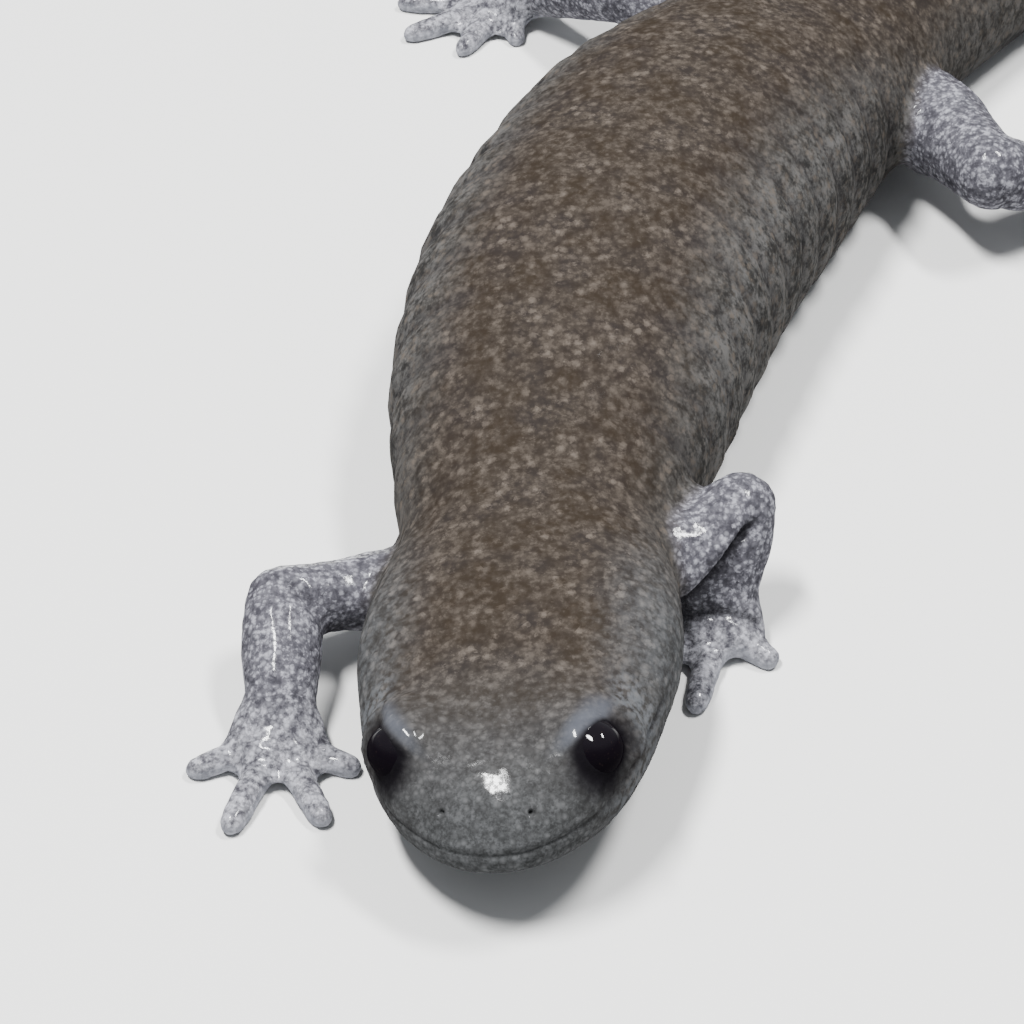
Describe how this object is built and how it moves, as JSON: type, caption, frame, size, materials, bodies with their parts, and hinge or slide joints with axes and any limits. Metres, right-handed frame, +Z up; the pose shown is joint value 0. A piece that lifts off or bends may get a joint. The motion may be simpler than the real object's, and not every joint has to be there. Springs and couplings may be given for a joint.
{
  "type": "streamside salamander model",
  "caption": "Life-size still model of a streamside salamander, resting with its body and tail curved to one side and its broad head low.",
  "frame": {"origin": "middle of the model's box on the plane that the belly, feet and tail rest on", "axes": "+Z up; the animal faces -Y, its left side is +X, and its tail curves away towards +Y"},
  "size_m": [0.0672, 0.1202, 0.0126],
  "materials": {
    "skin_back": "wet gloss",
    "skin_limbs": "wet gloss",
    "skin_tail": "wet gloss",
    "eye": "high gloss"
  },
  "bodies": {
    "root": {"head": "skin_back", "lower_jaw": "skin_back", "eye_left": "eye", "eye_right": "eye", "neck": "skin_back", "chest": "skin_back", "torso": "skin_back", "pelvis": "skin_back", "tail_base": "skin_tail", "tail_middle": "skin_tail", "tail_tip": "skin_tail", "upper_arm_left": "skin_limbs", "forearm_left": "skin_limbs", "hand_left": "skin_limbs", "upper_arm_right": "skin_limbs", "forearm_right": "skin_limbs", "hand_right": "skin_limbs", "thigh_left": "skin_limbs", "shin_left": "skin_limbs", "foot_left": "skin_limbs", "thigh_right": "skin_limbs", "shin_right": "skin_limbs", "foot_right": "skin_limbs"}
  },
  "joints": []
}
